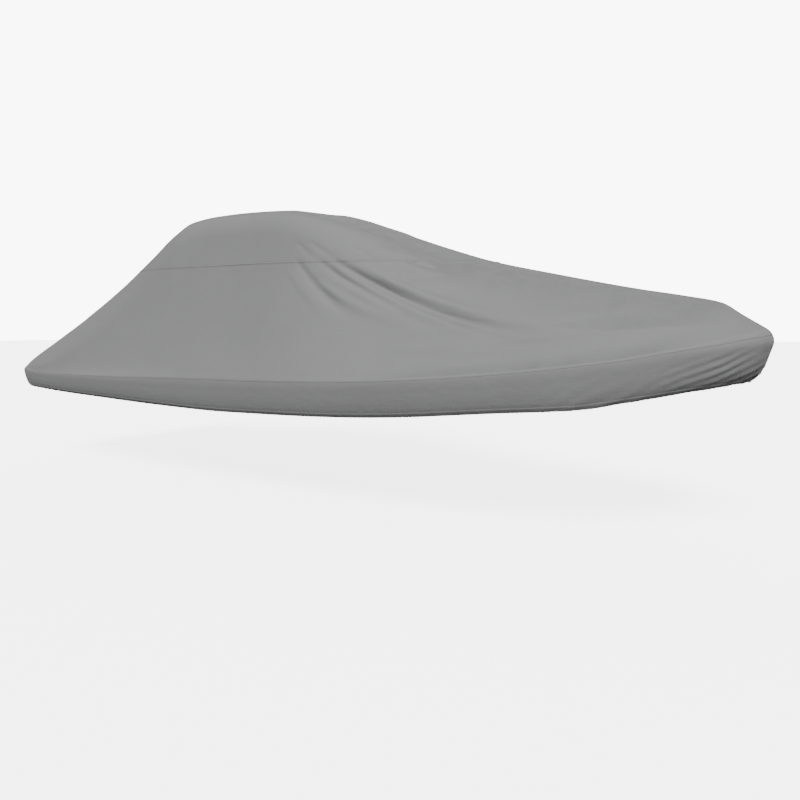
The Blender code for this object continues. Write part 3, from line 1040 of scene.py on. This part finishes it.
def woven_group() -> bpy.types.NodeTree:
    """A plain weave: the height of its threads, and how much each thread differs in tone."""
    group = GroupWriter("plain_weave", {"Pitch": 0.001}, ("Height", "Tone"))
    u, v, _ = group.parts(group.given["Vector"])
    half_turn = group.maths("DIVIDE", math.pi, group.given["Pitch"])
    along, across = (group.maths("SINE", group.times(part, half_turn)) for part in (u, v))
    warp_up = group.rise(group.times(along, across), -0.12, 0.12)
    under = group.times(group.maths("ABSOLUTE", across), group.less(1.0, warp_up))
    group.put("Height", group.maths("MULTIPLY_ADD", group.maths("ABSOLUTE", along), warp_up, under))
    thin, long = 900.0, 14.0
    slub = group.noise(1.0, 1.0, stretch=(thin, long, 1.0))
    cross = group.noise(1.0, 1.0, stretch=(long, thin, 1.0))
    group.put("Tone", group.times(group.maths("ADD", slub, cross), 0.5))
    return group.tree


def sewn_group() -> bpy.types.NodeTree:
    """Two rows of lockstitch beside a sewn edge, a band of painted shade along the edge and the puckers round
    it.
    """
    half_stitch = 0.0028
    stitch_gap = (0.0004, 0.0008)
    thread_edge = (0.00035, 0.00085)
    groove_width = 0.0045
    pucker_reach = (0.012, 0.070)
    inputs = {"First Row": 0.004, "Second Row": 0.011}
    group = GroupWriter("sewn_edge", inputs, ("Thread", "Seam_Shade", "Height"))
    run, off, _ = group.parts(group.given["Vector"])
    dash = group.rise(group.maths("PINGPONG", run, half_stitch), *stitch_gap)
    rows = []
    for name in inputs:
        gap = group.maths("ABSOLUTE", group.less(off, group.given[name]))
        rows.append(group.less(1.0, group.rise(gap, *thread_edge)))
    both = group.maths("ADD", *rows, clamp=True)
    thread = group.times(both, dash)
    group.put("Thread", thread)
    # Painted shade: a dark band along the sewn edge, where the lapped cloth shades the crease.
    group.put("Seam_Shade", group.less(1.0, group.rise(off, 0.0, groove_width)))
    pucker = group.noise(1.0, 2.0, stretch=(42.0, 9.0, 1.0))
    near = group.less(1.0, group.rise(off, *pucker_reach))
    dent = group.times(group.times(pucker, near), 1.6)
    raised = group.maths("MULTIPLY_ADD", thread, 0.55, group.times(both, -0.30))
    group.put("Height", group.maths("ADD", raised, dent))
    return group.tree


def wear_and_shade_group() -> bpy.types.NodeTree:
    """Slow changes of tone over the cloth: fading, and painted shade with patchy grime where it lies flatter.
    """
    level_from = (0.64, 0.92)
    group = GroupWriter("outdoor_wear_and_shade", {"Normal": None}, ("Tone", "Shade_And_Grime", "Height"))
    broad = group.noise(0.9, 3.0)
    blotch = group.noise(5.5, 4.0, 0.6, stretch=(1.0, 1.0, 0.45))
    fine = group.noise(46.0, 3.0, 0.6)
    tone = group.maths("MULTIPLY_ADD", broad, 0.45, group.times(blotch, 0.35))
    group.put("Tone", group.maths("MULTIPLY_ADD", fine, 0.20, tone))
    # Painted shade: the cloth is darkened where it faces up, and patchy as grime is.
    level = group.rise(group.parts(group.given["Normal"])[2], *level_from)
    patchy = group.maths("MULTIPLY_ADD", group.rise(blotch, 0.30, 0.75), 0.55, 0.45)
    group.put("Shade_And_Grime", group.times(level, patchy))
    group.put("Height", group.noise(13.0, 4.0, 0.55, stretch=(1.0, 1.0, 1.4)))
    return group.tree


@dataclass(frozen=True)
class ClothFinish:
    """The finish of one part of the cover.

    Attributes:
        name: The material's name.
        colour: The cloth's own colour, linear.
        shaded_grimy: Its colour where the painted shade and the grime darken it, on cloth that faces up.
        thread: The colour of the sewing thread.
        roughness: How matt it is.
        sheen: How much light grazes its fibres.
        spread: How far the tone varies.
        pitch: The distance between threads of the weave, in metres.
        crinkle: How strong the small creases are, in metres.
        rows: Where the two rows of stitches lie, from the sewn edge.
        edge_shade: How strong the painted shade in the crease at the sewn edge is.
    """

    name: str
    colour: Vector3
    shaded_grimy: Vector3
    thread: Vector3
    roughness: float
    sheen: float
    spread: float
    pitch: float
    crinkle: float
    rows: Tuple[float, float]
    edge_shade: float

    def make(self, groups: Dict[str, bpy.types.NodeTree]) -> bpy.types.Material:
        """Builds the material.

        Args:
            groups: The shared node groups by name.

        Returns:
            The new material.
        """
        material = bpy.data.materials.new(self.name)
        material.use_nodes = True
        tree = NodeWriter(material.node_tree)
        shader = material.node_tree.nodes["Principled BSDF"]
        on_weave, on_stitch = (tree.node("ShaderNodeUVMap", uv_map=m).outputs[0] for m in ("weave", "stitch"))
        place = tree.node("ShaderNodeTexCoord").outputs["Object"]
        facing = tree.node("ShaderNodeNewGeometry").outputs["Normal"]
        first, second = self.rows
        weave, sewn, wear = (
            tree.filled("ShaderNodeGroup", inputs, node_tree=groups[name]).outputs
            for name, inputs in (
                ("weave", {"Vector": on_weave, "Pitch": self.pitch}),
                ("sewn", {"Vector": on_stitch, "First Row": first, "Second Row": second}),
                ("wear", {"Vector": place, "Normal": facing}),
            )
        )
        dark, light, edge_shade = (
            tuple(c * by for c in self.colour) for by in (1 - self.spread, 1 + self.spread, 0.45)
        )
        cloth = tree.mix(wear["Tone"], dark, light)
        cloth = tree.mix(tree.times(weave["Tone"], 0.16), cloth, dark)
        # Painted shade on cloth that faces up, mixed with patchy grime.
        cloth = tree.mix(tree.times(wear["Shade_And_Grime"], 0.80), cloth, self.shaded_grimy)
        # Painted shade in the crease along the sewn edges.
        cloth = tree.mix(tree.times(sewn["Seam_Shade"], self.edge_shade), cloth, edge_shade)
        normal = None
        for height, distance, strength in (
            (wear["Height"], self.crinkle, 1.0),
            (sewn["Height"], 0.0011, 0.9),
            (weave["Height"], 0.00022, 0.7),
        ):
            inputs = {"Height": height, "Distance": distance, "Strength": strength}
            if normal is not None:
                inputs["Normal"] = normal
            normal = tree.filled("ShaderNodeBump", inputs).outputs[0]
        for name, value in (
            ("Base Color", tree.mix(sewn["Thread"], cloth, self.thread)),
            ("Roughness", tree.maths("MULTIPLY_ADD", wear["Tone"], 0.10, self.roughness - 0.05)),
            ("Sheen Weight", self.sheen),
            ("Sheen Roughness", 0.6),
            ("Specular IOR Level", 0.25),
            ("Normal", normal),
        ):
            tree.plug(shader.inputs[name], value)
        return material


GREY: Vector3 = (0.142, 0.143, 0.145)
# The darker grey of the painted shade and grime on cloth that faces up.
SHADED_GRIMY: Vector3 = (0.100, 0.101, 0.103)
THREAD: Vector3 = (0.090, 0.091, 0.094)
# The last column sets how strong the painted shade along the sewn edges is.
FINISHES: Dict[str, ClothFinish] = {
    f"{panel}_cloth": ClothFinish(
        f"{panel}_weave", GREY, SHADED_GRIMY, THREAD, roughness, 0.05, 0.10, 0.0011, crinkle, rows, edge_shade
    )
    for panel, roughness, crinkle, rows, edge_shade in (
        ("cap", 0.85, 0.0022, (0.0035, 0.0100), 0.95),
        ("deck", 0.85, 0.0024, (0.0050, 0.0115), 0.25),
        ("skirt", 0.86, 0.0030, (0.0040, 0.0700), 0.25),
    )
}


@dataclass(frozen=True)
class Sun:
    """One sun: its strength, how wide it is, how high it stands and its bearing, in degrees."""

    name: str
    energy: float
    width: float
    height: float
    bearing: float


SUNS: Sequence[Sun] = (
    Sun("key", 6.6, 22.0, 42.0, -66.0),
    Sun("fill", 1.6, 60.0, 30.0, 120.0),
    Sun("bow", 1.3, 30.0, 6.0, -18.0),
)


@dataclass
class Studio:
    """The floor, the light and the camera.

    Attributes:
        origin: The frame's origin in the tables' coordinates.
        ground: How far the ground is below the lowest point of the hem.
        eye: Where the camera stands, in the tables' coordinates.
        heading: The angle of its view from the boat's side, in degrees.
        lens: Its focal length, in millimetres, on a 36 mm frame.
        horizon: How far the frame is shifted down from the horizon, in frame widths.
        backdrop: How bright the backdrop is to the camera.
        bounce: How much light the floor throws back up.
        glow: How much brighter than its own light the floor looks to the camera.
        reach: How far the floor runs each way.
        pale: How pale the floor is to the camera.
        sky: How bright the sky is at the horizon and overhead.
    """

    origin: np.ndarray
    ground: float = 0.85
    eye: Vector3 = (8.98, -5.66, 0.80)
    heading: float = 35.0
    lens: float = 31.5
    horizon: float = -0.09
    backdrop: float = 9.0
    bounce: float = 0.03
    glow: float = 4.0
    reach: float = 90.0
    pale: float = 0.92
    sky: Tuple[float, float] = (0.04, 0.22)

    def floor(self) -> None:
        """A plain pale floor at the level of the ground."""
        mesh = bpy.data.meshes.new("floor")
        size = self.reach
        z = -self.ground - float(self.origin[2])
        corners = [(-size, -size, z), (size, -size, z), (size, size, z), (-size, size, z)]
        mesh.from_pydata(corners, [], [(0, 1, 2, 3)])
        material = bpy.data.materials.new("pale_floor")
        material.use_nodes = True
        tree = NodeWriter(material.node_tree)
        seen = tree.node("ShaderNodeLightPath").outputs["Is Camera Ray"]
        for name, value in (
            ("Roughness", 0.9),
            ("Base Color", tree.mix(seen, (self.bounce,) * 3, (self.pale,) * 3)),
            ("Emission Color", (1.0, 1.0, 1.0, 1.0)),
            ("Emission Strength", tree.times(seen, self.glow)),
        ):
            tree.plug(material.node_tree.nodes["Principled BSDF"].inputs[name], value)
        mesh.materials.append(material)
        floor = bpy.data.objects.new("floor", mesh)
        bpy.context.scene.collection.objects.link(floor)

    def light(self) -> None:
        """A bright backdrop, a soft sky that fades towards the ground, and the three suns."""
        world = bpy.data.worlds.new("studio")
        bpy.context.scene.world = world
        world.use_nodes = True
        tree = NodeWriter(world.node_tree)
        up = tree.parts(tree.node("ShaderNodeTexCoord").outputs["Generated"])[2]
        seen = tree.node("ShaderNodeLightPath").outputs["Is Camera Ray"]
        fade = tree.rise(up, 0.0, 1.0, *self.sky, kind="LINEAR")
        strength = tree.filled("ShaderNodeMix", {0: seen, 2: fade, 3: self.backdrop}).outputs[0]
        back = world.node_tree.nodes["Background"]
        tree.plug(back.inputs["Strength"], strength)
        tree.plug(back.inputs["Color"], (1.0, 1.0, 1.0, 1.0))
        for given in SUNS:
            sun = bpy.data.lights.new(given.name, "SUN")
            sun.energy = given.energy
            sun.angle = math.radians(given.width)
            lamp = bpy.data.objects.new(given.name, sun)
            turn = (90.0 - given.height, 0.0, given.bearing + 90.0)
            lamp.rotation_euler = tuple(math.radians(angle) for angle in turn)
            bpy.context.scene.collection.objects.link(lamp)

    def camera(self) -> None:
        """A camera at eye height off the starboard bow."""
        data = bpy.data.cameras.new("view")
        data.lens = self.lens
        data.sensor_width = 36.0
        data.shift_y = self.horizon
        data.clip_end = 400.0
        camera = bpy.data.objects.new("view", data)
        camera.location = tuple(np.array(self.eye) - self.origin)
        camera.rotation_euler = (math.radians(90.0), 0.0, math.radians(self.heading))
        bpy.context.scene.collection.objects.link(camera)
        bpy.context.scene.camera = camera


@dataclass
class Cover:
    """The whole cover, built panel by panel over the CAD nodes."""

    drape: Drape

    def build(self) -> None:
        """Builds the five panels, each named after the CAD node that it replaces, and hides those nodes."""
        groups = {"weave": woven_group(), "sewn": sewn_group(), "wear": wear_and_shade_group()}
        finish = {slot: made.make(groups) for slot, made in FINISHES.items()}
        top = TopPanels(self.drape)
        skirts = SkirtPanels(self.drape)
        grids = top.grids()
        self._place(Panel.CAP, top.cap(grids), "cap_cloth", finish)
        for panel, side in ((Panel.DECK_STARBOARD, Side.STARBOARD), (Panel.DECK_PORT, Side.PORT)):
            self._place(panel, top.deck(side, grids[side]), "deck_cloth", finish)
        for panel, side in ((Panel.SKIRT_STARBOARD, Side.STARBOARD), (Panel.SKIRT_PORT, Side.PORT)):
            self._place(panel, skirts.build(side), "skirt_cloth", finish)

    def _place(
        self, panel: Panel, solid: ClothSolid, slot: str, finish: Dict[str, bpy.types.Material]
    ) -> None:
        piece = solid.build(f"{panel.value}_cloth", self.drape.hull.origin, finish[slot])
        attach(piece, "root")
        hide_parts(panel.value)


def main() -> None:
    """Builds the scene."""
    logging.basicConfig(level=logging.INFO, format="%(name)s: %(message)s")
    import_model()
    drape = Drape(HullForm())
    studio = Studio(drape.hull.origin)
    studio.camera()
    studio.light()
    studio.floor()
    Cover(drape).build()


if __name__ == "__main__":
    main()
